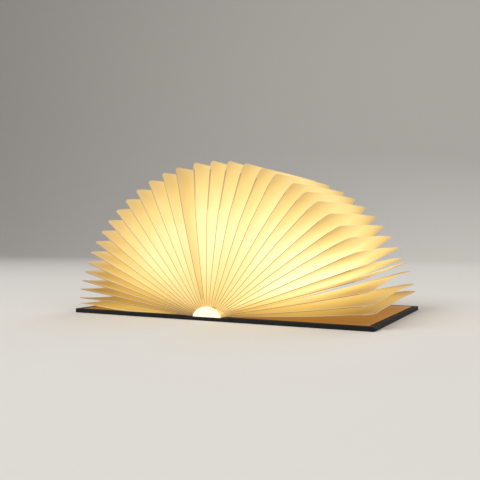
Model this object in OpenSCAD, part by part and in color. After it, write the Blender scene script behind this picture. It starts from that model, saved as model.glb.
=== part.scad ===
// Folding book lamp. It opens flat like a book, and a block of paper leaves fans out over a thin light core.
// X runs across the open covers, Y along the spine from head (-Y) to tail (+Y), and Z up from the table.
// The origin is on the table, under the middle of the spine. The lamp is drawn open at 180 degrees.

/* [Covers] */
// Length of the spine and of both covers
book_len = 122; // [104:1:150]
// Reach of a cover from its hinge line to its fore-edge
cover_reach = 91; // [80:1:120]
// Thickness of the closed book over both covers
closed_t = 25; // [24:0.5:30]
// Thickness of the covering cloth, glue included
cloth_t = 0.4; // [0.3:0.05:0.5]
// Thickness of the grey board in covers and spine
board_t = 1.9; // [1.8:0.1:2.4]
// Thickness of the endpaper and of the cloth turned in round it
liner_t = 0.3; // [0.2:0.05:0.5]
// Width of the cloth turned in over the inner face
turn_in = 4; // [3:0.5:8]
// Radius of the covers' fore-edge corners
cover_corner_r = 1.5; // [1:0.1:3]

/* [Leaves] */
// Number of leaves, an odd number with the middle one upright
leaf_count = 33; // [21:2:33]
// Thickness of one ply of the leaf paper
ply_t = 0.14; // [0.1:0.01:0.16]
// Radius of a leaf's two outer corners
leaf_corner_r = 4.5; // [3:0.5:8]
// How far the covers reach past the closed leaves at the fore-edge
fore_square = 0.5; // [0.4:0.1:4]
// How far the covers reach past the leaves at head and tail
head_square = 2.1; // [2.1:0.1:6]
// How far the middle leaf rises as the book opens
leaf_rise = 7.3; // [3:0.1:8]
// How strongly the open leaves crowd towards the covers, in degrees
crowding = 9.7; // [0:0.1:10]

/* [Light core] */
// Least height of the light core over the spine board
core_h = 3.5; // [3.5:0.1:5]
// Height of the light core's upright sides
core_side = 1.7; // [1.5:0.1:2]
// Wall of the frosted core cover
core_wall = 0.7; // [0.6:0.05:0.8]
// Height of the half-round end caps over the spine board
cap_h = 6.3; // [5.5:0.1:8]
// Thickness of the end caps
cap_t = 1.3; // [1.2:0.1:1.6]
// Thickness of the tray under the electronics
tray_t = 0.5; // [0.4:0.05:0.6]

/* [Electronics] */
// Length of the battery cell
battery_len = 58; // [30:1:60]
// Width of the battery cell
battery_w = 8.4; // [6:0.1:8.6]
// Thickness of the battery cell
battery_t = 3.4; // [2:0.1:3.5]
// Depth of the battery's recess in the spine board
recess_depth = 1.3; // [1:0.1:1.3]
// Number of light-emitting diodes along each side
led_per_side = 8; // [4:1:12]
// Width of the charging socket
socket_w = 7.5; // [7:0.1:9]
// Height of the charging socket
socket_h = 2.6; // [2.4:0.1:2.6]
// Diameter of the magnets at the covers' fore-edges
magnet_d = 8; // [5:0.5:10]
// Thickness of every magnet
magnet_t = 1.2; // [0.8:0.1:1.5]

/* [Hidden] */
$fn = 96;
// Clearance round a piece that drops into a recess
fit_gap = 0.1;
// Running gap round the cloth hinges
hinge_gap = 0.12;
// Gap between neighbouring leaves when the book is closed
leaf_gap = 0.155;
// Gap between the closed leaves' roots and the core under them
root_gap = 0.4;
// Gap between a cover's inner face and the middle of the outermost closed leaf
leaf_inset = 0.7;
// Overlap that a cutting solid needs past the face it cuts
cut = 1;

cover_t = cloth_t + board_t + liner_t;
seat_z = cloth_t + board_t;
inner_half = closed_t / 2 - cover_t;
hinge_x = closed_t / 2 - cloth_t / 2;
hinge_z = cloth_t / 2;
joint_w = cover_t;
spine_half = hinge_x - joint_w;
hinge_r = cloth_t / 2 + hinge_gap;
board_start = hinge_x + joint_w;
fore_edge = hinge_x + cover_reach;

core_inset = 0.7;
core_half = spine_half - core_inset;
socket_corner = 0.8;
core_top = max(core_h, core_wall + roof_needed(socket_h, socket_w / 2 - socket_corner * (1 - cos(45))));
core_roof_r = arc_radius(core_half, core_top - core_side);
core_roof_z = seat_z + core_top - core_roof_r;
cap_inset = 0.5;
cap_half = inner_half - cap_inset;
cap_side = 1.2;
cap_setback = 0.2;
cap_face = book_len / 2 - cap_setback;
core_end = cap_face - cap_t;
lip_len = 2;
lip_gap = 0.2;
lip_wall = 0.8;
tray_half = core_half - core_wall - fit_gap;
tray_end = core_end - lip_len - lip_gap;
tray_top = seat_z + tray_t;

rivet_r = 0.8;
rivet_head_r = 1.3;
rivet_head_t = 0.5;
rivet_gap = 0.05;
rivet_hole_r = rivet_r + rivet_gap;
rivet_inset = 1.6;
rivet_clear = 0.8;

rib_w = 0.5;
rib_h = 0.5;
rib_gap = 0.25;
rib_x = battery_w / 2 + rib_gap;
led_board_t = 0.6;
led_board_x = rib_x + rib_w + fit_gap;
led_board_w = tray_half - fit_gap - led_board_x;
led_board_end = tray_end - rivet_inset - rivet_head_r - rivet_clear;
led_size = [1.4, 3, 0.7];
led_pitch = 2 * led_board_end / led_per_side;

battery_inset = 10;
battery_end_gap = 0.3;
battery_start = battery_inset - cap_face;
battery_end = battery_start + battery_len;
recess_z = seat_z - recess_depth;
pad_t = 0.2;
lead_span = 4;
board_inset = 4.2;
board_end = core_end - board_inset;
board_first = battery_end + lead_span;
board_z = tray_top;
board_top = board_z + led_board_t;
socket_inset = 0.2;
socket_len = cap_face - socket_inset - board_end;
socket_wall = 0.3;
socket_z = seat_z + socket_h / 2;
port_gap = 0.3;
chip_size = [5, 4, 0.9];
chip_start = 6;
chip_spacing = 10;
hall_size = [3, 1.6, 1];
hall_inset = 0.3;
switch_inset = 9;
switch_y = board_first + switch_inset;
switch_magnet_d = 5;
switch_magnet_inset = 3.5;
switch_magnet_x = board_start + switch_magnet_inset;
lead_r = 0.4;
lead_x = 2;
led_lead_inset = 3;
rivet_points = [
    for (x = [-1, 1], y = [-1, 1]) [x * (led_board_x + led_board_w / 2), y * (tray_end - rivet_inset)],
    [0, (battery_end + board_first) / 2]
];

magnet_inset = [5, 8];
magnet_x = fore_edge - magnet_d / 2 - magnet_inset[0];
magnet_y = book_len / 2 - magnet_d / 2 - magnet_inset[1];

middle_leaf = (leaf_count + 1) / 2;
leaf_pitch = 2 * (inner_half - leaf_inset) / (leaf_count - 1);
leaf_root_t = leaf_pitch - leaf_gap;
leaf_tip_t = min(2 * ply_t, leaf_root_t);
leaf_h = book_len - 2 * head_square;
closed_top = hinge_z + cover_reach - fore_square;
ring_half = hinge_x;
ring_foot_inset = 1.7;
ring_foot = board_start + ring_foot_inset;
ring_foot_rise = 0.7;
ring_foot_z = cover_t + ring_foot_rise;
ring_top = closed_root(middle_leaf)[1] + leaf_rise;

// Radius of the arc that rises by rise over a half width
function arc_radius(half, rise) = (half * half + rise * rise) / (2 * rise);

// Least inner height of the arched core over something of a height and half width that stands in it
function roof_needed(height, half) =
    let (share = pow(half / (core_half - core_wall), 2))
    (height - core_side * share) / (1 - share);

function leaf_name(i) = str("leaf_", i < 10 ? "0" : "", i);

// Angle of an open leaf from the right cover, closer together towards the covers
function open_angle(i) =
    180 * i / (leaf_count + 1) - crowding * sin(360 * i / (leaf_count + 1));

// Place in the fan, from 0 at the right cover to 180 at the left one
function ring_angle(i) = 180 * (i - 1) / (leaf_count - 1);

// Root of an open leaf in X and Z, on a dome that flares out to clear the hinges
function open_root(i) = [
    ring_half * cos(ring_angle(i)) + (ring_foot - ring_half) * pow(cos(ring_angle(i)), 3),
    ring_foot_z + (ring_top - ring_foot_z) * sin(ring_angle(i))
];

// Root of a leaf in the closed book, where the leaves stand side by side on the core
function closed_root(i) =
    let (x = (middle_leaf - i) * leaf_pitch)
    [x, core_roof_z + sqrt(pow(core_roof_r + root_gap, 2) - x * x)];

// Length of a leaf from its root to its fold. The folds are flush in the closed book.
function leaf_len(i) = closed_top - closed_root(i)[1];

// A slab from x = 0 to its length, with its two far corners rounded
module tab(length, width, r) {
    translate([0, -width / 2])
        square([length - r, width]);
    translate([0, r - width / 2])
        square([length, width - 2 * r]);
    for (side = [-1, 1])
        translate([length - r, side * (width / 2 - r)])
            circle(r);
}

module rounded_rect(w, h, r) {
    square([w - 2 * r, h], center = true);
    square([w, h - 2 * r], center = true);
    for (x = [-1, 1], y = [-1, 1])
        translate([x * (w / 2 - r), y * (h / 2 - r)])
            circle(r);
}

// Half section with upright sides and an arched roof, standing on y = 0
module arched(half, side, h) {
    r = arc_radius(half, h - side);
    translate([-half, 0])
        square([2 * half, side]);
    intersection() {
        translate([0, h - r])
            circle(r);
        translate([-half, side])
            square([2 * half, h]);
    }
}

// Stands a section in the XZ plane and runs it along Y from one place to another
module along_y(from, to) {
    translate([0, to, 0])
        rotate([90, 0, 0])
            linear_extrude(to - from)
                children();
}

module rivet_holes(from, to) {
    for (p = rivet_points)
        translate([p[0], p[1], from])
            cylinder(r = rivet_hole_r, h = to - from);
}

module battery_recess(from, to) {
    translate([-rib_x + fit_gap, battery_start - battery_end_gap, from])
        cube([2 * (rib_x - fit_gap), battery_len + 2 * battery_end_gap, to - from]);
}

module spine_board() {
    color("dimgray")
        difference() {
            translate([-spine_half, cloth_t - book_len / 2, cloth_t])
                cube([2 * spine_half, book_len - 2 * cloth_t, board_t]);
            battery_recess(recess_z, seat_z + cut);
            rivet_holes(0, seat_z + cut);
        }
}

// The cloth over the spine ends in a round bead on each hinge line, and is turned up over both board ends
module spine_cloth() {
    color("black") {
        along_y(-book_len / 2, book_len / 2) {
            translate([-hinge_x, 0])
                square([2 * hinge_x, cloth_t]);
            for (side = [-1, 1])
                translate([side * hinge_x, hinge_z])
                    circle(cloth_t / 2);
        }
        for (side = [-1, 1])
            translate([-spine_half, side > 0 ? book_len / 2 - cloth_t : -book_len / 2, 0])
                cube([2 * spine_half, cloth_t, seat_z]);
    }
}

module cover_outline(inset) {
    translate([board_start, 0])
        tab(cover_reach - joint_w - inset, book_len - 2 * inset, cover_corner_r - inset);
}

module fore_magnet_places() {
    for (side = [-1, 1])
        translate([magnet_x, side * magnet_y, seat_z - magnet_t])
            children();
}

module cover_board() {
    color("dimgray")
        difference() {
            translate([0, 0, cloth_t])
                linear_extrude(board_t)
                    cover_outline(cloth_t);
            fore_magnet_places()
                cylinder(d = magnet_d + 2 * fit_gap, h = magnet_t + cut);
        }
}

// Cloth under the board, up its three free edges and turned in over its inner face
module cover_cloth() {
    opening_w = book_len - 2 * turn_in;
    color("black") {
        difference() {
            linear_extrude(cover_t)
                cover_outline(0);
            translate([0, 0, cloth_t])
                linear_extrude(board_t)
                    cover_outline(cloth_t);
            translate([board_start - cut, cloth_t - book_len / 2, cloth_t])
                cube([2 * cut, book_len - 2 * cloth_t, board_t]);
            translate([board_start - cut, -opening_w / 2, seat_z - liner_t])
                cube([cover_reach - joint_w - turn_in + cut, opening_w, 2 * liner_t + cut]);
        }
        difference() {
            translate([hinge_x, -book_len / 2, 0])
                cube([joint_w, book_len, cloth_t]);
            along_y(-book_len / 2 - cut, book_len / 2 + cut)
                translate([hinge_x, hinge_z])
                    circle(hinge_r);
        }
    }
}

module endpaper() {
    paper_w = book_len - 2 * turn_in - 2 * fit_gap;
    color("tan")
        translate([board_start, -paper_w / 2, seat_z])
            cube([cover_reach - joint_w - turn_in - fit_gap, paper_w, liner_t]);
}

module cover_magnets() {
    color("silver")
        fore_magnet_places()
            cylinder(d = magnet_d, h = magnet_t);
}

module switch_magnet_place() {
    translate([-switch_magnet_x, switch_y, seat_z - magnet_t])
        children();
}

module left_cover_board() {
    color("dimgray")
        difference() {
            mirror([1, 0, 0])
                cover_board();
            switch_magnet_place()
                cylinder(d = switch_magnet_d + 2 * fit_gap, h = magnet_t + cut);
        }
}

module switch_magnet() {
    color("silver")
        switch_magnet_place()
            cylinder(d = switch_magnet_d, h = magnet_t);
}

module core_tray() {
    notch = socket_w / 2 + port_gap;
    color("whitesmoke")
        difference() {
            union() {
                translate([-tray_half, -tray_end, seat_z])
                    cube([2 * tray_half, 2 * tray_end, tray_t]);
                for (side = [-1, 1])
                    translate([side * (rib_x + rib_w / 2) - rib_w / 2, -led_board_end, seat_z])
                        cube([rib_w, 2 * led_board_end, tray_t + rib_h]);
            }
            battery_recess(0, tray_top + cut);
            translate([-notch, board_end - fit_gap, 0])
                cube([2 * notch, book_len, tray_top + cut]);
            rivet_holes(0, tray_top + cut);
        }
}

module tray_rivets() {
    color("silver")
        for (p = rivet_points)
            translate([p[0], p[1], 0]) {
                translate([0, 0, cloth_t])
                    cylinder(r = rivet_r, h = tray_top - cloth_t);
                translate([0, 0, tray_top])
                    cylinder(r = rivet_head_r, h = rivet_head_t);
            }
}

module core_section(inset) {
    arched(core_half - inset, core_side, core_top - inset);
}

// The space inside the core, open at the bottom
module core_bore(inset) {
    core_section(inset);
    translate([inset - core_half, -cut])
        square([2 * (core_half - inset), cut + core_side]);
}

module core_diffuser() {
    color("ivory")
        translate([0, 0, seat_z])
            along_y(-core_end, core_end)
                difference() {
                    core_section(0);
                    core_bore(core_wall);
                }
}

// Half-round window at one end of the core, with a lip that fits inside the diffuser
module end_cap() {
    lip = core_wall + fit_gap;
    translate([0, 0, seat_z]) {
        along_y(core_end, cap_face)
            arched(cap_half, cap_side, cap_h);
        along_y(core_end - lip_len, core_end)
            difference() {
                core_section(lip);
                core_bore(lip + lip_wall);
            }
    }
}

module head_end_cap() {
    color("ivory")
        mirror([0, 1, 0])
            end_cap();
}

module tail_end_cap() {
    color("ivory")
        difference() {
            end_cap();
            along_y(core_end - lip_len - cut, cap_face + cut)
                translate([0, socket_z])
                    rounded_rect(socket_w + 2 * port_gap, socket_h + 2 * port_gap, socket_corner + port_gap);
        }
}

module battery() {
    corner = 1.2;
    color("silver")
        along_y(battery_start, battery_end)
            translate([0, recess_z + pad_t + battery_t / 2])
                rounded_rect(battery_w, battery_t, corner);
}

module battery_pad() {
    inset = 1.5;
    color("gray")
        translate([inset - battery_w / 2, battery_start + inset, recess_z])
            cube([battery_w - 2 * inset, battery_len - 2 * inset, pad_t]);
}

module battery_leads() {
    landing = 1.6;
    color("red")
        for (side = [-1, 1])
            along_y(battery_end, board_first + landing)
                translate([side * lead_x, board_top + lead_r])
                    circle(lead_r);
}

module charge_board() {
    color("darkgreen")
        translate([-battery_w / 2, board_first, board_z])
            cube([battery_w, board_end - board_first, led_board_t]);
}

module charge_chips() {
    color("black")
        for (k = [0, 1])
            translate([-chip_size[0] / 2, switch_y + chip_start + k * chip_spacing, board_top])
                cube(chip_size);
}

module hall_switch() {
    color("black")
        translate([-battery_w / 2 + hall_inset, switch_y - hall_size[1] / 2, board_top])
            cube(hall_size);
}

// Pressed steel shell round a flat tongue, closed at its back against the charge board
module charging_socket() {
    back = 0.4;
    tongue = [3.5, 0.6, 4.4];
    mouth = board_end + socket_len;
    color("silver") {
        difference() {
            along_y(board_end, mouth)
                translate([0, socket_z])
                    rounded_rect(socket_w, socket_h, socket_corner);
            along_y(board_end + back, mouth + cut)
                translate([0, socket_z])
                    rounded_rect(
                        socket_w - 2 * socket_wall,
                        socket_h - 2 * socket_wall,
                        socket_corner - socket_wall
                    );
        }
        translate([-tongue[0] / 2, board_end + back / 2, socket_z - tongue[1] / 2])
            cube([tongue[0], tongue[2], tongue[1]]);
    }
}

module led_boards() {
    color("white")
        for (side = [-1, 1])
            translate([side * (led_board_x + led_board_w / 2) - led_board_w / 2, -led_board_end, tray_top])
                cube([led_board_w, 2 * led_board_end, led_board_t]);
}

module led_leads() {
    reach = 0.9;
    color("orange")
        for (side = [-1, 1])
            translate([side * (rib_x + rib_w / 2), board_first + led_lead_inset, board_top + lead_r])
                rotate([0, 90, 0])
                    cylinder(r = lead_r, h = rib_w + 2 * reach, center = true);
}

module leds() {
    color("lightyellow")
        for (side = [-1, 1], k = [0:led_per_side - 1])
            translate([
                side * (led_board_x + led_board_w / 2) - led_size[0] / 2,
                (k - (led_per_side - 1) / 2) * led_pitch - led_size[1] / 2,
                board_top
            ])
                cube(led_size);
}

// One leaf lying along X from its root: two plies that meet at the outer fold, so it is wedge-shaped
module leaf_blank(length) {
    intersection() {
        translate([0, 0, -leaf_root_t])
            linear_extrude(2 * leaf_root_t)
                tab(length, leaf_h, leaf_corner_r);
        along_y(-leaf_h, leaf_h)
            polygon([
                [0, -leaf_root_t / 2],
                [length + cut, -leaf_tip_t / 2],
                [length + cut, leaf_tip_t / 2],
                [0, leaf_root_t / 2]
            ]);
    }
}

module leaf(i) {
    root = open_root(i);
    color("moccasin")
        translate([root[0], 0, root[1]])
            rotate([0, -open_angle(i), 0])
                leaf_blank(leaf_len(i));
}

spine_board();
spine_cloth();
cover_board();  // right_cover_board
cover_cloth();  // right_cover_cloth
endpaper();  // right_endpaper
cover_magnets();  // right_cover_magnets
left_cover_board();
mirror([1, 0, 0]) cover_cloth();  // left_cover_cloth
mirror([1, 0, 0]) endpaper();  // left_endpaper
mirror([1, 0, 0]) cover_magnets();  // left_cover_magnets
switch_magnet();
core_tray();
core_diffuser();
head_end_cap();
tail_end_cap();
tray_rivets();
battery();
battery_pad();
battery_leads();
charge_board();
charge_chips();
hall_switch();
charging_socket();
led_boards();
led_leads();
leds();
for (i = [1:leaf_count])
    leaf(i);
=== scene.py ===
"""Folding book lamp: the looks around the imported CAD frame.

Lengths in this file are in millimetres until they reach Blender, which works in metres. Only lights, the
depths of bumps and two distances for cutting meshes are given in metres.
X runs across the open covers, Y from head to tail along the spine, Z up from the table.
"""

import math
import random

import bmesh
import bpy
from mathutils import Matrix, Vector, noise


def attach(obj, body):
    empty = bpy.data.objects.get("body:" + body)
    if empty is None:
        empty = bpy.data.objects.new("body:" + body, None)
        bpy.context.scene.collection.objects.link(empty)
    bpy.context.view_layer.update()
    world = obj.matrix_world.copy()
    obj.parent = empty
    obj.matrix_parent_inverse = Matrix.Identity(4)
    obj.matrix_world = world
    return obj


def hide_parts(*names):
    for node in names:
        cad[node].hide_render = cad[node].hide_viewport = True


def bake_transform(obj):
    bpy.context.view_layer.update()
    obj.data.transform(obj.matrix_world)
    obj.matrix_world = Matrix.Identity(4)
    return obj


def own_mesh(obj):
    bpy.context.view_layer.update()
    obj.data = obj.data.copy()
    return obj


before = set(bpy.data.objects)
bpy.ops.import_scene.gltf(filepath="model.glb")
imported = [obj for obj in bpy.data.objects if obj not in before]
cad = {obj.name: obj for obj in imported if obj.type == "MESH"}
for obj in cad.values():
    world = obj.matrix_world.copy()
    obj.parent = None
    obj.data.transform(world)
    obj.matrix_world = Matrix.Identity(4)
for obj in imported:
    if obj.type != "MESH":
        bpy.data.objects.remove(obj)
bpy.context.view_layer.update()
random.seed(7)

MM = 0.001

# Spine and covers. The groove of the hinge lies between SPINE_HALF and BOARD_START
BOOK_LEN = 122.0
CLOTH_T = 0.4
COVER_T = 2.6
SPINE_HALF = 9.7
BOARD_START = 14.9

# Leaves, the level of their folds in the closed book and their pitch there
LEAVES = 33
MIDDLE = 17
LEAF_H = 117.8
PLY_T = 0.14
CLOSED_TOP = 90.7
CLOSED_PITCH = 0.575

# The arc that the roots stand on in the closed book, and how far the core's top lies under it
CORE_ARC_Z = -17.6
CORE_ARC_R = 23.8

# The flared dome that the roots stand on in the open book
RING_HALF = 12.3
RING_FOOT = 16.6
RING_FOOT_Z = 3.3
RING_TOP = 13.5


def link(obj):
    bpy.context.scene.collection.objects.link(obj)


# Camera, as solved from the photo

CAMERA_AT = Vector((187.0, -384.2, 47.5)) * MM
YAW = math.radians(26.873)
PITCH = math.radians(0.258)
LENS = 46.01
SENSOR_WIDTH = 36
CLIP_START = 10 * MM

cam = bpy.data.objects.new("camera", bpy.data.cameras.new("camera"))
link(cam)
bpy.context.scene.camera = cam
cam.data.lens = LENS
cam.data.sensor_width = SENSOR_WIDTH
cam.data.clip_start = CLIP_START
cam.location = CAMERA_AT
looking = Vector(
    (
        -math.sin(YAW) * math.cos(PITCH),
        math.cos(YAW) * math.cos(PITCH),
        math.sin(PITCH),
    )
)
cam.rotation_euler = looking.to_track_quat("-Z", "Y").to_euler()


# Materials


def shader(name, color=(0.8, 0.8, 0.8), roughness=0.5, **values):
    """A new Principled material and its shader node. Other values are sockets, with _ for a space."""
    mat = bpy.data.materials.new(name)
    mat.use_nodes = True
    bsdf = mat.node_tree.nodes["Principled BSDF"]
    bsdf.inputs["Base Color"].default_value = (*color, 1)
    bsdf.inputs["Roughness"].default_value = roughness
    for key, value in values.items():
        bsdf.inputs[key.replace("_", " ")].default_value = value
    return mat, bsdf


def add(mat, kind, *inputs, out=0, **props):
    """A new node of that kind. Inputs go to its sockets in order, or by (name, value) pairs."""
    node = mat.node_tree.nodes.new("ShaderNode" + kind)
    for key, value in props.items():
        setattr(node, key, value)
    for k, value in enumerate(inputs):
        socket = node.inputs[k]
        if isinstance(value, tuple) and isinstance(value[0], str):
            socket, value = node.inputs[value[0]], value[1]
        if value is None:
            continue
        if isinstance(value, bpy.types.NodeSocket):
            join(mat, value, socket)
        else:
            socket.default_value = value
    return node.outputs[out]


def join(mat, source, target):
    mat.node_tree.links.new(source, target)


def calc(mat, operation, *inputs):
    return add(mat, "Math", *inputs, operation=operation)


def ramp(mat, fac, stops, eased=True):
    """A colour ramp. A stop is (place, value) or (place, (r, g, b))."""
    node = mat.node_tree.nodes.new("ShaderNodeValToRGB")
    node.color_ramp.interpolation = "EASE" if eased else "LINEAR"
    items = node.color_ramp.elements
    while len(items) < len(stops):
        items.new(0.5)
    for item, (place, value) in zip(items, stops):
        item.position = place
        item.color = (*value, 1) if isinstance(value, tuple) else (value, value, value, 1)
    join(mat, fac, node.inputs["Fac"])
    return node.outputs["Color"]


def mix(mat, fac, a, b):
    node = mat.node_tree.nodes.new("ShaderNodeMix")
    node.data_type = "RGBA"
    for name, value in (("Factor_Float", fac), ("A_Color", a), ("B_Color", b)):
        socket = next(s for s in node.inputs if s.identifier == name)
        if isinstance(value, bpy.types.NodeSocket):
            join(mat, value, socket)
        else:
            socket.default_value = value if name == "Factor_Float" else (*value, 1)
    return next(s for s in node.outputs if s.identifier == "Result_Color")


def place(mat, scale=(1, 1, 1)):
    """Object coordinates in metres, stretched by scale."""
    coords = add(mat, "TexCoord", out=3)
    return add(mat, "Mapping", coords, None, None, scale)


def grain(mat, scale, detail=4, stretch=(1, 1, 1), rough=0.55):
    return add(
        mat,
        "TexNoise",
        ("Vector", place(mat, stretch)),
        ("Scale", scale),
        ("Detail", detail),
        ("Roughness", rough),
    )


def bump(mat, bsdf, height, distance, strength):
    relief = add(mat, "Bump", ("Strength", strength), ("Distance", distance), ("Height", height))
    join(mat, relief, bsdf.inputs["Normal"])


# Colour of the lit paper, by the share of the core's light that reaches it
GLOW_COLORS = (
    (0.0, (0.03, 0.014, 0.003)),
    (0.2, (0.17, 0.085, 0.014)),
    (0.4, (0.37, 0.21, 0.040)),
    (0.6, (0.59, 0.38, 0.085)),
    (0.8, (0.84, 0.63, 0.22)),
    (0.9, (0.95, 0.79, 0.37)),
    (1.0, (1.0, 0.98, 0.61)),
)
PAPER_FIBRE_SHADE = 0.84


def lit_paper(name, base, level):
    """Spun fibre paper with the core's light in it. The mesh says how much light reaches each point."""
    mat, bsdf = shader(name, roughness=0.75, Sheen_Weight=0.1, Specular_IOR_Level=0.25)
    reach = add(mat, "Attribute", out=2, attribute_type="GEOMETRY", attribute_name="glow")
    fibres = grain(mat, 900, 5, rough=0.7)
    clouds = grain(mat, 60, 3)
    speckle = calc(mat, "MULTIPLY_ADD", fibres, 0.10, 0.95)
    patches = calc(mat, "MULTIPLY_ADD", clouds, 0.10, 0.95)
    glow = calc(mat, "MULTIPLY", reach, calc(mat, "MULTIPLY", speckle, patches))
    join(mat, ramp(mat, glow, GLOW_COLORS, eased=False), bsdf.inputs["Emission Color"])
    bsdf.inputs["Emission Strength"].default_value = level
    darker = tuple(c * PAPER_FIBRE_SHADE for c in base)
    join(mat, mix(mat, fibres, base, darker), bsdf.inputs["Base Color"])
    bump(mat, bsdf, fibres, distance=0.00012, strength=0.6)
    mat.cycles.emission_sampling = "NONE"
    return mat


CLOTH_GROUND = (0.006, 0.005, 0.006)
CLOTH_THREAD = (0.018, 0.016, 0.016)
CLOTH_RUBBED = (0.040, 0.036, 0.034)
CLOTH_SLUB = (0.02, 0.018, 0.018)


def cloth_threads(mat, direction):
    """Threads that repeat along that axis, slightly uneven."""
    return add(
        mat,
        "TexWave",
        ("Vector", place(mat)),
        ("Scale", 520.0),
        ("Distortion", 0.6),
        ("Detail", 1.0),
        wave_type="BANDS",
        bands_direction=direction,
    )


def book_cloth():
    """Fine woven cloth: two crossed sets of threads, with paler rubbed threads in patches."""
    mat, bsdf = shader("book_cloth", (0.018, 0.017, 0.018), 0.8, Sheen_Weight=0.05, Specular_IOR_Level=0.2)
    threads = [cloth_threads(mat, direction) for direction in ("X", "Y")]
    weave = calc(mat, "MAXIMUM", *[add(mat, "RGBToBW", t) for t in threads])
    slubs = grain(mat, 260, 3, stretch=(1, 0.25, 1))
    rubbed = ramp(mat, grain(mat, 45, 5), [(0.52, 0.0), (0.75, 1.0)])
    woven = mix(mat, weave, CLOTH_GROUND, CLOTH_THREAD)
    worn = mix(mat, calc(mat, "MULTIPLY", rubbed, 0.35), woven, CLOTH_RUBBED)
    uneven = mix(mat, calc(mat, "MULTIPLY", slubs, 0.3), worn, CLOTH_SLUB)
    join(mat, uneven, bsdf.inputs["Base Color"])
    join(mat, calc(mat, "MULTIPLY_ADD", rubbed, -0.14, 0.78), bsdf.inputs["Roughness"])
    bump(mat, bsdf, calc(mat, "ADD", weave, slubs), distance=0.00008, strength=0.8)
    return mat


def plain(name, color, roughness, shade=0.85, scale=350, depth=0.00003, **values):
    """A plain finish with fine grain in its colour, gloss and relief."""
    mat, bsdf = shader(name, color, roughness, **values)
    fine = grain(mat, scale, 4)
    join(mat, mix(mat, fine, color, tuple(c * shade for c in color)), bsdf.inputs["Base Color"])
    join(mat, calc(mat, "MULTIPLY_ADD", fine, 0.16, roughness - 0.08), bsdf.inputs["Roughness"])
    bump(mat, bsdf, fine, depth, 0.6)
    return mat


ENDPAPER_PALE = (0.40, 0.27, 0.15)
ENDPAPER_DARK = (0.30, 0.19, 0.10)
ENDPAPER_MOTTLE = (0.20, 0.14, 0.09)
ENDPAPER_GLOW = (0.60, 0.26, 0.05)
ENDPAPER_GLOW_LEVEL = 0.35


def endpaper_brown():
    """Brown fibre paper, with a little emission for the light that the leaves throw down on it."""
    mat, bsdf = shader("endpaper", (0.30, 0.21, 0.14), 0.7, Specular_IOR_Level=0.3)
    fibres = grain(mat, 700, 5, stretch=(1, 0.35, 1), rough=0.7)
    mottle = grain(mat, 40, 4)
    base = mix(mat, fibres, ENDPAPER_PALE, ENDPAPER_DARK)
    bsdf.inputs["Emission Color"].default_value = (*ENDPAPER_GLOW, 1)
    bsdf.inputs["Emission Strength"].default_value = ENDPAPER_GLOW_LEVEL
    mottled = mix(mat, calc(mat, "MULTIPLY", mottle, 0.4), base, ENDPAPER_MOTTLE)
    join(mat, mottled, bsdf.inputs["Base Color"])
    bump(mat, bsdf, fibres, distance=0.00006, strength=0.6)
    return mat


FROSTED_PALE = (0.60, 0.57, 0.50)
FROSTED_DARK = (0.52, 0.49, 0.42)


def frosted(name, inner, outer, level):
    """The lit cover of the core, a little warmer in cloudy patches."""
    mat, bsdf = shader(name, roughness=0.6, Specular_IOR_Level=0.4)
    fine = grain(mat, 500, 3)
    cloud = grain(mat, 90, 2)
    join(mat, mix(mat, cloud, inner, outer), bsdf.inputs["Emission Color"])
    bsdf.inputs["Emission Strength"].default_value = level
    join(mat, mix(mat, fine, FROSTED_PALE, FROSTED_DARK), bsdf.inputs["Base Color"])
    bump(mat, bsdf, fine, distance=0.00004, strength=0.5)
    return mat


PAPER = lit_paper("leaf_paper", (0.42, 0.36, 0.27), 0.84)
CLOTH = book_cloth()
ENDPAPER = endpaper_brown()
WINDOW = frosted("frosted_cover", (1.0, 0.93, 0.66), (1.0, 0.84, 0.48), 0.80)
DIFFUSER = frosted("frosted_diffuser", (0.75, 0.46, 0.12), (0.62, 0.34, 0.07), 0.8)
STEEL = plain("bright_steel", (0.70, 0.70, 0.71), 0.3, shade=0.9, scale=900, Metallic=1.0)
NICKEL = plain("magnet", (0.66, 0.65, 0.63), 0.28, shade=0.9, scale=700, Metallic=1.0)
FOIL = plain("cell_foil", (0.68, 0.69, 0.71), 0.36, shade=0.85, scale=160, depth=0.0001, Metallic=1.0)

CAD_MATERIALS = {
    "spine_board": plain("grey_board", (0.33, 0.32, 0.30), 0.85, shade=0.7, scale=600, depth=0.0001),
    "core_tray": plain("white_tray", (0.80, 0.80, 0.77), 0.5, shade=0.94, scale=900),
    "core_diffuser": DIFFUSER,
    "head_end_cap": WINDOW,
    "tail_end_cap": WINDOW,
    "tray_rivets": STEEL,
    "charging_socket": STEEL,
    "battery": FOIL,
    "battery_pad": plain("foam_tape", (0.16, 0.16, 0.16), 0.9, shade=0.6, scale=1400, depth=0.0002),
    "battery_leads": plain("red_insulation", (0.55, 0.03, 0.02), 0.4),
    "led_leads": plain("orange_insulation", (0.70, 0.24, 0.03), 0.4),
    "charge_board": plain("green_laminate", (0.02, 0.19, 0.07), 0.35, shade=0.7, scale=700),
    "charge_chips": plain("chip_black", (0.03, 0.03, 0.03), 0.6, shade=0.6, scale=900),
    "led_boards": plain("white_laminate", (0.80, 0.80, 0.77), 0.4, shade=0.93, scale=700),
    "leds": plain("led_yellow", (0.90, 0.68, 0.22), 0.35, shade=0.9, scale=900),
    "right_endpaper": ENDPAPER,
    "left_endpaper": ENDPAPER,
    "right_cover_magnets": NICKEL,
    "left_cover_magnets": NICKEL,
    "switch_magnet": NICKEL,
}
CAD_MATERIALS["right_cover_board"] = CAD_MATERIALS["spine_board"]
CAD_MATERIALS["left_cover_board"] = CAD_MATERIALS["spine_board"]
CAD_MATERIALS["hall_switch"] = CAD_MATERIALS["charge_chips"]

for node, material in CAD_MATERIALS.items():
    for material_slot in cad[node].material_slots:
        material_slot.material = material


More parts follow.
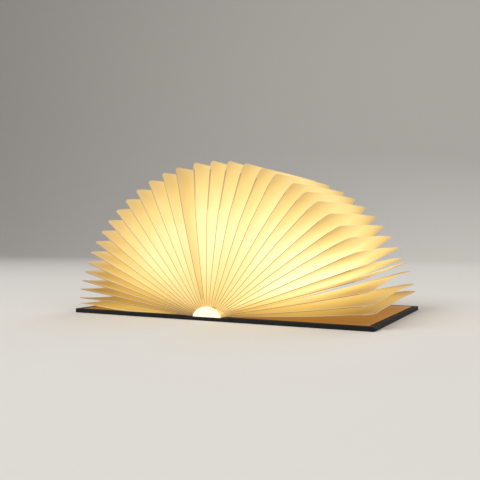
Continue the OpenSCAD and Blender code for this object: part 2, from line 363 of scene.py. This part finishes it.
# Mesh helpers

SHARP_FROM = math.radians(40)


def piece(name, verts, faces, materials, glow=None):
    """A mesh object from points in millimetres. glow gives each point's share of the core's light."""
    mesh = bpy.data.meshes.new(name)
    mesh.from_pydata([Vector(v) * MM for v in verts], [], faces)
    for material in materials:
        mesh.materials.append(material)
    if glow:
        mesh.attributes.new("glow", "FLOAT", "POINT").data.foreach_set("value", glow)
    bm = bmesh.new()
    bm.from_mesh(mesh)
    bmesh.ops.recalc_face_normals(bm, faces=bm.faces)
    bm.to_mesh(mesh)
    bm.free()
    mesh.shade_smooth()
    mesh.set_sharp_from_angle(angle=SHARP_FROM)
    obj = bpy.data.objects.new(name, mesh)
    link(obj)
    return obj


def sheet_faces(columns, rows):
    """Faces of a thin closed sheet, whose points go by columns and rows in pairs, one for either side."""
    step = 2 * (rows + 1)
    faces = []
    for c in range(columns):
        for r in range(rows):
            a = c * step + 2 * r
            for b in (a, a + 1):
                faces.append([b, b + 2, b + 2 + step, b + step])
        for a in (c * step, c * step + 2 * rows):
            faces.append([a, a + 1, a + 1 + step, a + step])
    for start in (0, columns * step):
        for a in range(start, start + 2 * rows, 2):
            faces.append([a, a + 1, a + 3, a + 2])
    return faces


def from_both_ends(half, depths):
    """Places in Y from head to tail: those depths in from either end, and the middle."""
    head = [depth - half for depth in depths]
    return head + [0.0] + [-y for y in reversed(head)]


def smooth(t):
    """An S-shaped step from 0 to 1."""
    t = min(1.0, max(0.0, t))
    return t * t * (3 - 2 * t)


def spread(value, *stops):
    """Straight lines through (place, value) stops."""
    for (a, u), (b, v) in zip(stops, stops[1:]):
        if value <= b:
            return u + (v - u) * max(0.0, (value - a) / (b - a))
    return stops[-1][1]


# Where the leaves stand

# Degrees by which the open leaves crowd towards the covers
CROWDING = 9.7

# Values that differ between the right and the left half of the fan change over from this leaf angle on
CHANGE_START = 75
CHANGE_SPAN = 40


def ring_angle(i):
    """Place of leaf i's root round the dome, from its right foot over the top."""
    return math.pi * (i - 1) / (LEAVES - 1)


def open_root(i):
    """X and Z of leaf i's root on the dome."""
    c = math.cos(ring_angle(i))
    return (
        RING_HALF * c + (RING_FOOT - RING_HALF) * c**3,
        RING_FOOT_Z + (RING_TOP - RING_FOOT_Z) * math.sin(ring_angle(i)),
    )


def open_angle(i):
    """Angle of leaf i in the open book, up from the right cover."""
    turn = i / (LEAVES + 1)
    return math.radians(180 * turn - CROWDING * math.sin(2 * math.pi * turn))


def leaf_directions(i):
    """Leaf i's own directions in X and Z: out along it, and square to it, away from the right cover."""
    angle = open_angle(i)
    along = (math.cos(angle), math.sin(angle))
    return along, (-along[1], along[0])


def leaf_len(i):
    """Length from root to fold. In the closed book the roots stand on the arc and the folds are level."""
    x = (MIDDLE - i) * CLOSED_PITCH
    return CLOSED_TOP - CORE_ARC_Z - math.sqrt(CORE_ARC_R**2 - x * x)


def across_fan(i, right, left):
    """A value that changes over from the right half of the fan to the left one."""
    degrees = math.degrees(open_angle(i))
    return right + (left - right) * smooth((degrees - CHANGE_START) / CHANGE_SPAN)


# How the leaves bend

# How far a head edge stands off its flat leaf, away from the right cover, to match the edges traced in the
# photo. Each row is for a leaf angle and has one value for each place between root and fold
LEAN_ANGLES = (0, 20, 45, 70, 90, 110, 135, 160, 180)
LEAN_PLACES = (0, 0.15, 0.35, 0.65, 1)
HEAD_LEAN = (
    (0.2, -0.1, -0.8, -1.3, -1.0),
    (-1.4, -1.2, -0.8, -0.2, 0.5),
    (-2.3, -2.2, -1.3, 0.1, 0.5),
    (-1.4, -1.2, -0.5, 0.0, -1.3),
    (0.8, 0.9, 0.9, 0.6, -1.7),
    (2.8, 3.1, 2.8, 1.9, -0.1),
    (3.5, 3.8, 3.4, 2.4, 0.9),
    (2.5, 2.5, 1.9, 1.0, 0.3),
    (0.3, -0.4, -1.2, -2.0, -1.8),
)

# How far the fold stands off at the tail, as (leaf angle, stand-off) stops
DEEP_LEAN = (
    (0, 3.5),
    (7, 4.4),
    (10.8, 6.8),
    (14.6, 6.2),
    (19, 2.6),
    (24, 2.8),
    (45, 5.2),
    (70, 5.2),
    (90, 2.0),
    (110, -2.6),
    (135, -2.4),
    (160, 0.4),
    (180, 1.2),
)

# What single leaves stand off beyond that, at their folds
OWN_LEAN = {
    1: 1.0,
    2: -0.8,
    3: -0.4,
    5: -0.4,
    7: 0.8,
    8: 0.5,
    9: 0.4,
    10: 0.7,
    12: -0.8,
    13: 0.8,
    15: 0.4,
    19: 1.2,
}

# The bend changes from the head's to the tail's within a run that is shorter on the left. It grows from root
# to fold by a power that depends on the leaf angle
BEND_RUN = (60, 20)
BEND_POWER = ((15, 1.2), (19, 2.6), (60, 2))

# Slow waves in the paper: their height, their length across the leaf, how many run along it, and how far
# behind the head edge they have their full height
WAVE_HEIGHT = 0.8
WAVE_ACROSS = 45
WAVE_ALONG = 1.6
WAVE_FULL = 20

# The two plies: how far each stands off the leaf's middle at head and tail, how much more where they puff
# out, and how far in that is. SKEW moves the fattest place towards the root, ROUND makes the swelling fuller
PLIES_APART = PLY_T / 2 + 0.14
PUFF_MOST = 0.7
PUFF_FULL = 30
PUFF_SKEW = 0.8
PUFF_ROUND = 0.9

# What is drawn for each leaf: its share of that puff, how far its fold strays at the tail, and how bright
# its head and tail edges are
PUFF_RANGE = (0.75, 1.1)
WANDER_RANGE = (-0.4, 0.4)
SHADE_RANGE = (0.95, 1.04)


def lean_row(i):
    """The stand-offs of leaf i's head edge at LEAN_PLACES, and that of its fold at the tail."""
    turn = math.degrees(open_angle(i))
    row = [spread(turn, *zip(LEAN_ANGLES, column)) for column in zip(*HEAD_LEAN)]
    return row, spread(turn, *DEEP_LEAN)


def leaf_middle(i, wander):
    """A function that tells how far leaf i stands off its flat plane, at s of its length and y across."""
    lean, deep_lean = lean_row(i)
    run = across_fan(i, *BEND_RUN)
    power = spread(math.degrees(open_angle(i)), *BEND_POWER)
    seed = Vector((i * 3.7, 1.3, 8.1))

    def middle(s, y):
        behind = y + LEAF_H / 2
        back = (1 - math.exp(-behind / run)) / (1 - math.exp(-LEAF_H / run))
        ripple = noise.noise(seed + Vector((s * WAVE_ALONG, y / WAVE_ACROSS, 0)))
        wave = ripple * WAVE_HEIGHT * s * smooth(behind / WAVE_FULL)
        head = spread(s, *zip(LEAN_PLACES, lean)) + OWN_LEAN.get(i, 0) * s
        return head + s**power * back * (deep_lean - lean[-1]) + wave + wander * s * s * back

    return middle


def pouch_half(s, y, puff):
    """Half the pouch's thickness. It is fattest well inside the leaf, nearer to its root than its fold."""
    inner = smooth((LEAF_H / 2 - abs(y)) / PUFF_FULL)
    return PLIES_APART + inner * puff * math.sin(math.pi * s**PUFF_SKEW) ** PUFF_ROUND * PUFF_MOST


# How the light reaches the leaves

# Shares of the core's light by the distance from its axis: inside the fan, and at the head and tail edges,
# where no lit paper stands beyond. How far in from an edge its share still counts is EDGE_REACH
INSIDE_SHARE = (
    (9, 0.78),
    (16, 0.88),
    (24, 0.93),
    (36, 0.98),
    (50, 1.0),
    (64, 0.98),
    (78, 0.93),
    (98, 0.85),
)
EDGE_SHARE = ((50, 0.90), (64, 0.87), (78, 0.80), (90, 0.62), (98, 0.54))
EDGE_REACH = ((60, 12), (90, 28))

# The share that is left at an angle up from the right cover: less low over either cover
COVER_SHARE = (
    (0, 0.45),
    (4, 0.58),
    (9, 0.76),
    (20, 1),
    (140, 0.96),
    (160, 0.82),
    (172, 0.56),
    (180, 0.4),
)

# The plies' cut edges and the gap between them keep only this share of the core's light, as painted shade,
# and the head of one leaf keeps its own share, painted shade too
EDGE_DIM = 0.42
SHADY = {19: 0.78}


def glow_at(x, z, depth, shade):
    """How much light comes through the paper at a point that lies depth in from head or tail."""
    radius = math.hypot(x, z - RING_FOOT_Z)
    turn = math.degrees(math.atan2(max(0.0, z - RING_FOOT_Z), x))
    edge = spread(radius, *EDGE_SHARE) * shade
    fade = (1 - edge) * math.exp(-depth / spread(radius, *EDGE_REACH))
    return spread(radius, *INSIDE_SHARE) * spread(turn, *COVER_SHARE) * (1 - fade)


# Leaves

LEAF_ROWS = 24
CORNER = (6.5, 3.3)
CORNER_TURNS = (15, 32, 48, 62, 76, 90)
COLUMNS_BACK = (43, 33, 25, 18, 12, 7, 3, 0)

# The gap between the plies, as it shows at head and tail
GAP_DEPTH = 1.4
GAP_LEAST = 0.02


def leaf_columns(corner):
    """Places across a leaf, closer together in its corners and towards head and tail."""
    flat = LEAF_H / 2 - corner
    inner = [flat - back for back in COLUMNS_BACK]
    half = inner + [flat + corner * math.sin(math.radians(a)) for a in CORNER_TURNS]
    return [-y for y in reversed(half)] + [0.0] + half


def reach_at(length, y, corner):
    """Length of the leaf from its root to its fold, at that place across it."""
    past = abs(y) - (LEAF_H / 2 - corner)
    if past <= 0:
        return length
    return length - corner + math.sqrt(max(0.0, corner**2 - past**2))


def leaf_faces(index, count):
    """Faces over a leaf's points, given the points' numbers by their keys and the count of columns."""
    faces = []
    last = LEAF_ROWS

    def quad(*keys):
        faces.append([index[k] for k in keys])

    for c in range(count - 1):
        for r in range(last):
            for side in ("over", "under"):
                quad((side, c, r), (side, c + 1, r), (side, c + 1, r + 1), (side, c, r + 1))
        for side in ("over", "under"):
            quad((side, c, last), (side, c + 1, last), ("fold", c + 1), ("fold", c))
        quad(("over", c, 0), ("over", c + 1, 0), ("under", c + 1, 0), ("under", c, 0))
    chain = (("edge", 1), ("lip", 1), ("deep",), ("lip", -1), ("edge", -1))
    for c in (0, count - 1):
        for r in range(last):
            for a, b in zip(chain, chain[1:]):
                quad((*a, c, r), (*b, c, r), (*b, c, r + 1), (*a, c, r + 1))
        ends = [[index[(*k, c, r)] for k in chain] for r in (0, last)]
        ends[1].append(index[("fold", c)])
        faces.extend(ends)
    return faces


def leaf(i):
    """One pouch of two plies. They part at the root, puff out between, and meet in the outer fold."""
    along, normal = leaf_directions(i)
    root = open_root(i)
    length = leaf_len(i)
    corner = across_fan(i, *CORNER)
    columns = leaf_columns(corner)
    puff = random.uniform(*PUFF_RANGE)
    wander = random.uniform(*WANDER_RANGE)
    shade = SHADY.get(i, random.uniform(*SHADE_RANGE))
    middle = leaf_middle(i, wander)
    verts, index, glow = [], {}, []

    def point(key, u, y, w, dim=1.0):
        """Adds a point u out from the root and w off the flat leaf."""
        index[key] = len(verts)
        x = root[0] + along[0] * u + normal[0] * w
        z = root[1] + along[1] * u + normal[1] * w
        verts.append((x, y, z))
        glow.append(dim * glow_at(x, z, LEAF_H / 2 - abs(y), shade))

    for c, y in enumerate(columns):
        reach = reach_at(length, y, corner)
        for r in range(LEAF_ROWS + 1):
            s = r / LEAF_ROWS
            u, m, h = s * reach, middle(s, y), pouch_half(s, y, puff)
            point(("over", c, r), u, y, m + h)
            point(("under", c, r), u, y, m - h)
            if c in (0, len(columns) - 1):
                # At head and tail the cut edges and the gap between the plies are painted in shade by
                # EDGE_DIM
                gap = max(GAP_LEAST, h - PLY_T)
                for side in (-1, 1):
                    point(("edge", side, c, r), u, y, m + side * h, EDGE_DIM)
                    point(("lip", side, c, r), u, y, m + side * gap, EDGE_DIM)
                point(("deep", c, r), u, y - math.copysign(GAP_DEPTH, y), m, EDGE_DIM)
        point(("fold", c), reach + PLY_T, y, middle(1, y))
    obj = piece(f"leaf_pouch_{i:02d}", verts, leaf_faces(index, len(columns)), [PAPER], glow=glow)
    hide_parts(f"leaf_{i:02d}")
    paper_piece(obj)
    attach(obj, f"page_{i:02d}")


# The strips of paper between a leaf's root and the core. They lap on to the leaf by a share of their length
FOLD_LEN = 4.3
FOLD_LAP = 0.03
FOLD_HALF = 58.7
FOLD_SIDES = (-0.11, 0.11)
FOLD_ROWS = 4
FOLD_DEPTHS = (0, 0.7, 2, 5, 10, 18, 28, 42)


def leaf_fold(i):
    """The leaf's two plies where they run on from its root to the core."""
    along, normal = leaf_directions(i)
    lean = lean_row(i)[0][0]
    root = open_root(i)
    start = (root[0] + normal[0] * lean, root[1] + normal[1] * lean)
    places = from_both_ends(FOLD_HALF, FOLD_DEPTHS)
    verts, glow = [], []
    for y in places:
        # The strip's head and tail ends are painted in shade, like the leaves' cut edges
        dim = EDGE_DIM if y in (places[0], places[-1]) else 1
        for r in range(FOLD_ROWS + 1):
            u = FOLD_LEN * (FOLD_LAP - r / FOLD_ROWS)
            for w in FOLD_SIDES:
                x = start[0] + along[0] * u + normal[0] * w
                z = start[1] + along[1] * u + normal[1] * w
                verts.append((x, y, z))
                glow.append(dim * glow_at(x, z, LEAF_H / 2 - abs(y), 1))
    faces = sheet_faces(len(places) - 1, FOLD_ROWS)
    obj = piece(f"leaf_fold_{i:02d}", verts, faces, [PAPER], glow=glow)
    paper_piece(obj)
    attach(obj, "spine")


def paper_piece(obj):
    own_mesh(obj)


for number in range(1, LEAVES + 1):
    leaf(number)
    leaf_fold(number)


# Flyleaf

# Its inner and outer edges are counted from the middle of the spine. It rises from FLY_BOW_START on, a
# little less in the middle than at head and tail
FLY_START = 18.0
FLY_END = 100.6
FLY_HALF = 58.6
FLY_T = 0.16
FLY_GAP = 0.03
FLY_RISE = 3.3
FLY_BOW_START = 60
FLY_BOW_SPAN = 44
FLY_COLUMNS = 24
FLY_ROWS = 30
# Painted shade at head and tail: the flyleaf's glow there is dimmed by this
FLY_EDGE_DIM = 0.75
FLY_MIDDLE_LESS = 0.2
FLY_ROUND = 0.9
# The core's light that falls on the flyleaf, painted on as a glow: brightest between about 40 and 75 mm out,
# less towards the spine and the outer edge
FLY_PAINTED_LIGHT = ((FLY_START, 0.40), (40, 0.60), (75, 0.62), (FLY_END, 0.42))


def flyleaf():
    """The loose sheet on the left cover. Its outer part bows up."""
    verts, glow = [], []
    for c in range(FLY_COLUMNS + 1):
        y = FLY_HALF * math.sin(math.radians(180 * c / FLY_COLUMNS - 90))
        dim = FLY_EDGE_DIM if c in (0, FLY_COLUMNS) else 1
        for r in range(FLY_ROWS + 1):
            x = FLY_START + (FLY_END - FLY_START) * r / FLY_ROWS
            bow = smooth((x - FLY_BOW_START) / FLY_BOW_SPAN) ** FLY_ROUND
            bow *= 1 - FLY_MIDDLE_LESS + FLY_MIDDLE_LESS * (y / FLY_HALF) ** 2
            for over in (0, FLY_T):
                verts.append((-x, y, COVER_T + FLY_GAP + FLY_RISE * bow + over))
                # Painted light: the glow stands for the core's light falling on the sheet
                glow.append(dim * spread(x, *FLY_PAINTED_LIGHT))
    obj = piece("left_flyleaf", verts, sheet_faces(FLY_COLUMNS, FLY_ROWS), [PAPER], glow=glow)
    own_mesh(obj)
    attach(obj, "left_cover")


flyleaf()


# Covers

# Radius of the cloth's softened edges, and the least bend that counts as an edge
CLOTH_EDGE = 0.18
SOFT_FROM = math.radians(50)

# Two distances for cutting a mesh, in metres, and the bend up to which faces are joined again
CUT_MERGE = 1e-6
CUT_EXACT = 1e-7
FLAT_WITHIN = math.radians(1)

# How far outside the hinge's groove the covers' own cloth starts
CASE_CLEAR = 0.01

# The hinge's cloth: its places in from head and tail, its steps across, how far it bows up, how much thinner
# it is than the rest, and how far in from either board its bending starts
HINGE_DEPTHS = (0, 0.12, 0.5, 2.0, 2.6, 3.0, 3.2, 6, 12, 20, 30, 40, 50)
HINGE_STEPS = 14
HINGE_BOW = 0.06
HINGE_THINNER = 0.02

# Its turned-in rolls: their top, and how full they are as (depth from head or tail, share) stops
ROLL_TOP = 2.4
ROLL_SHARE = ((0, 0.86), (0.12, 0.94), (0.5, 1), (2.0, 1), (2.6, 0.85), (3.0, 0.5), (3.2, 0))


def cut_copy(node, name, cuts):
    """A copy of a CAD node's mesh, cut off at each place in X and closed again. What lies beyond a cut, on
    the side it points to, goes."""
    mesh = cad[node].data.copy()
    mesh.name = name
    bm = bmesh.new()
    bm.from_mesh(mesh)
    bmesh.ops.remove_doubles(bm, verts=bm.verts, dist=CUT_MERGE)
    for at, side in cuts:
        bmesh.ops.bisect_plane(
            bm,
            geom=bm.verts[:] + bm.edges[:] + bm.faces[:],
            dist=CUT_EXACT,
            plane_co=(at * MM, 0, 0),
            plane_no=(side, 0, 0),
            clear_outer=True,
        )
        bmesh.ops.holes_fill(bm, edges=[e for e in bm.edges if e.is_boundary])
    bmesh.ops.dissolve_limit(bm, angle_limit=FLAT_WITHIN, verts=bm.verts, edges=bm.edges)
    bmesh.ops.recalc_face_normals(bm, faces=bm.faces)
    bm.to_mesh(mesh)
    bm.free()
    mesh.materials.clear()
    mesh.materials.append(CLOTH)
    obj = bpy.data.objects.new(name, mesh)
    link(obj)
    soften(obj, CLOTH_EDGE)
    return obj


def soften(obj, width):
    """Rounds the hard edges a little, as cloth over a board is."""
    bevel = obj.modifiers.new("soft_edges", "BEVEL")
    bevel.width = width * MM
    bevel.segments = 3
    bevel.limit_method = "ANGLE"
    bevel.angle_limit = SOFT_FROM
    bevel.use_clamp_overlap = True


def hinge_section(depth):
    """The hinge cloth's outline in X and Z, that far in from head or tail: its outside, then its inside."""
    roll = spread(depth, *ROLL_SHARE) * (ROLL_TOP - CLOTH_T)
    outside, inside = [], []
    for k in range(HINGE_STEPS + 1):
        x = SPINE_HALF + (BOARD_START - SPINE_HALF) * k / HINGE_STEPS
        dip = HINGE_BOW * math.sin(math.pi * k / HINGE_STEPS)
        outside.append((x, dip))
        inside.append((x, CLOTH_T - HINGE_THINNER + dip + roll))
    return outside + inside[::-1]


def hinge_cloth(side, name):
    """The strip of cloth in the groove between spine board and cover board.
    At head and tail it is turned in over a cord, nearly as high as the boards beside it."""
    places = from_both_ends(BOOK_LEN / 2, HINGE_DEPTHS)
    verts, faces = [], []
    for y in places:
        verts += [(side * x, y, z) for x, z in hinge_section(BOOK_LEN / 2 - abs(y))]
    cells = len(places) - 1
    n = len(verts) // len(places)
    for j in range(cells):
        for k in range(n):
            a, b = j * n + k, j * n + (k + 1) % n
            faces.append([a, b, b + n, a + n])
    faces.append(list(range(n)))
    faces.append([cells * n + k for k in reversed(range(n))])
    obj = piece(name, verts, faces, [CLOTH])
    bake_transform(obj)


for side, word in ((1, "right"), (-1, "left")):
    cut = (side * (BOARD_START + CASE_CLEAR), -side)
    cover = cut_copy(f"{word}_cover_cloth", f"{word}_cover_case", [cut])
    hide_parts(f"{word}_cover_cloth")
    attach(cover, f"{word}_cover")
    hinge_cloth(side, f"{word}_hinge_cloth")

spine = cut_copy("spine_cloth", "spine_case", [(SPINE_HALF, 1), (-SPINE_HALF, -1)])
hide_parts("spine_cloth")
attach(spine, "spine")


# Floor, light and world

FLOOR_FRONT = -2000
FLOOR_HALF = 4000
SWEEP_START = 1200
SWEEP_RADIUS = 800
SWEEP_STEPS = 12
WALL_TOP = 3000

# Each light's place, size and power
LIGHTS = {
    "key": ((-0.7, -0.9, 1.3), 1.0, 16),
    "fill": ((1.2, -0.6, 0.9), 1.2, 7),
    "back": ((0.2, 1.0, 1.1), 1.2, 6),
}
LIT_POINT = Vector((0, 0, 0.04))
WORLD_COLOR = (0.9, 0.88, 0.85, 1)
WORLD_LEVEL = 0.34


def backdrop():
    """A pale floor that sweeps up into a wall."""
    path = [(FLOOR_FRONT, 0.0), (SWEEP_START, 0.0)]
    for k in range(1, SWEEP_STEPS + 1):
        a = math.radians(90 * k / SWEEP_STEPS)
        path.append((SWEEP_START + SWEEP_RADIUS * math.sin(a), SWEEP_RADIUS * (1 - math.cos(a))))
    path.append((SWEEP_START + SWEEP_RADIUS, WALL_TOP))
    verts = [(x, y, z) for y, z in path for x in (-FLOOR_HALF, FLOOR_HALF)]
    faces = [[a, a + 1, a + 3, a + 2] for a in range(0, len(verts) - 2, 2)]
    mat, _ = shader("floor", (0.72, 0.70, 0.67), 0.9)
    obj = piece("floor", verts, faces, [mat])


def area_light(name, at, size, power):
    data = bpy.data.lights.new(name, "AREA")
    data.shape = "SQUARE"
    data.size = size
    data.energy = power
    obj = bpy.data.objects.new(name, data)
    obj.location = at
    obj.rotation_euler = (LIT_POINT - Vector(at)).to_track_quat("-Z", "Y").to_euler()
    link(obj)


backdrop()
for name, (at, size, power) in LIGHTS.items():
    area_light(name, at, size, power)

world = bpy.data.worlds.new("world")
bpy.context.scene.world = world
world.use_nodes = True
background = world.node_tree.nodes["Background"]
background.inputs["Color"].default_value = WORLD_COLOR
background.inputs["Strength"].default_value = WORLD_LEVEL
bpy.context.scene.view_settings.view_transform = "Standard"
